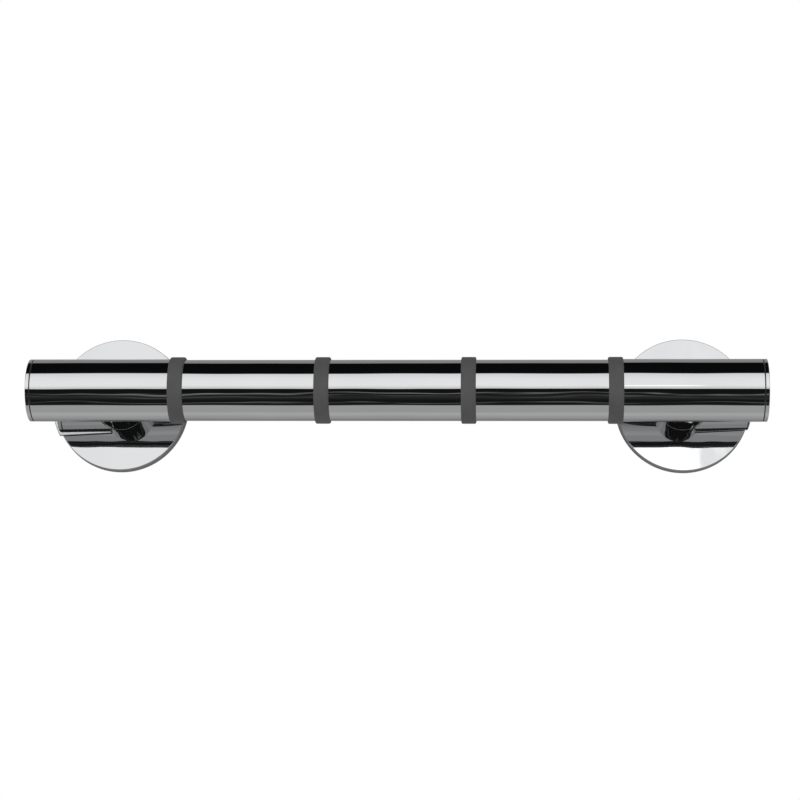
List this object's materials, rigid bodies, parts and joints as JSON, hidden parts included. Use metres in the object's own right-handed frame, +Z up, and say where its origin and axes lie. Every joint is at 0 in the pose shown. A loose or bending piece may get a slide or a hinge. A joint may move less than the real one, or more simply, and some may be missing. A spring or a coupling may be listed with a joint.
{
  "type": "suction grab bar",
  "caption": "Straight chrome grab bar with soft grip rings, held off the wall by short posts on round, winged turn-to-lock suction discs with rubber rims.",
  "frame": {"origin": "on the wall plane, midway between the two suction discs' axes", "axes": "+X along the bar, +Z up, and +Y into the wall, so the bar stands off towards -Y"},
  "size_m": [0.421, 0.0791, 0.0792],
  "materials": {
    "chrome_tube": "mirror chrome plate on steel tube",
    "chrome_trim": "mirror chrome plate",
    "chrome_face": "flat mirror chrome plate",
    "grip_rubber": "matt soft grip rubber",
    "rim_rubber": "matt soft grip rubber",
    "cup_rubber": "satin moulded rubber",
    "seal_rubber": "satin seal rubber",
    "black_nylon": "moulded glass-filled nylon",
    "white_ptfe": "smooth low-friction plastic",
    "steel": "turned stainless steel"
  },
  "bodies": {
    "bar": {"grab_tube": "chrome_tube", "left_end_tube": "chrome_tube", "right_end_tube": "chrome_tube", "left_tube_joint": "steel", "right_tube_joint": "steel", "left_end_cap": "chrome_trim", "right_end_cap": "chrome_trim", "left_cap_seal": "seal_rubber", "right_cap_seal": "seal_rubber", "grip_ring_1": "grip_rubber", "grip_ring_2": "grip_rubber", "grip_ring_3": "grip_rubber", "grip_ring_4": "grip_rubber", "left_post": "chrome_trim", "left_post_seal": "seal_rubber", "left_post_bolt": "steel", "left_bolt_washer": "steel", "left_tube_nut": "steel", "left_base_housing": "black_nylon", "left_thrust_washer": "white_ptfe", "left_spring_seat": "steel", "left_retaining_clip": "steel", "left_return_spring": "steel", "left_cup_lip": "cup_rubber", "right_post": "chrome_trim", "right_post_seal": "seal_rubber", "right_post_bolt": "steel", "right_bolt_washer": "steel", "right_tube_nut": "steel", "right_base_housing": "black_nylon", "right_thrust_washer": "white_ptfe", "right_spring_seat": "steel", "right_retaining_clip": "steel", "right_return_spring": "steel", "right_cup_lip": "cup_rubber"},
    "left_dial": {"left_turn_core": "black_nylon", "left_face_plate": "chrome_face", "left_grip_rim": "rim_rubber", "left_turn_wing": "chrome_trim"},
    "left_cup": {"left_cup_stem": "steel", "left_cross_pin": "steel", "left_cup_membrane": "cup_rubber"},
    "right_dial": {"right_turn_core": "black_nylon", "right_face_plate": "chrome_face", "right_grip_rim": "rim_rubber", "right_turn_wing": "chrome_trim"},
    "right_cup": {"right_cup_stem": "steel", "right_cross_pin": "steel", "right_cup_membrane": "cup_rubber"}
  },
  "joints": [
    {"name": "left_dial_turn", "type": "hinge", "parent": "bar", "child": "left_dial", "pos_m": [-0.1665, 0, 0], "axis": [0, 1, 0], "range_deg": [0, 90]},
    {"name": "left_cup_pull", "type": "slide", "parent": "bar", "child": "left_cup", "axis": [0, -1, 0], "range_m": [0, 0.0025], "deforming": ["left_cup_membrane", "left_return_spring"]},
    {"name": "right_dial_turn", "type": "hinge", "parent": "bar", "child": "right_dial", "pos_m": [0.1665, 0, 0], "axis": [0, 1, 0], "range_deg": [0, 90]},
    {"name": "right_cup_pull", "type": "slide", "parent": "bar", "child": "right_cup", "axis": [0, -1, 0], "range_m": [0, 0.0025], "deforming": ["right_cup_membrane", "right_return_spring"]}
  ],
  "couplings": [
    {"joint": "left_cup_pull", "follows": "left_dial_turn", "m_per_rad": 0.0015915},
    {"joint": "right_cup_pull", "follows": "right_dial_turn", "m_per_rad": 0.0015915}
  ]
}
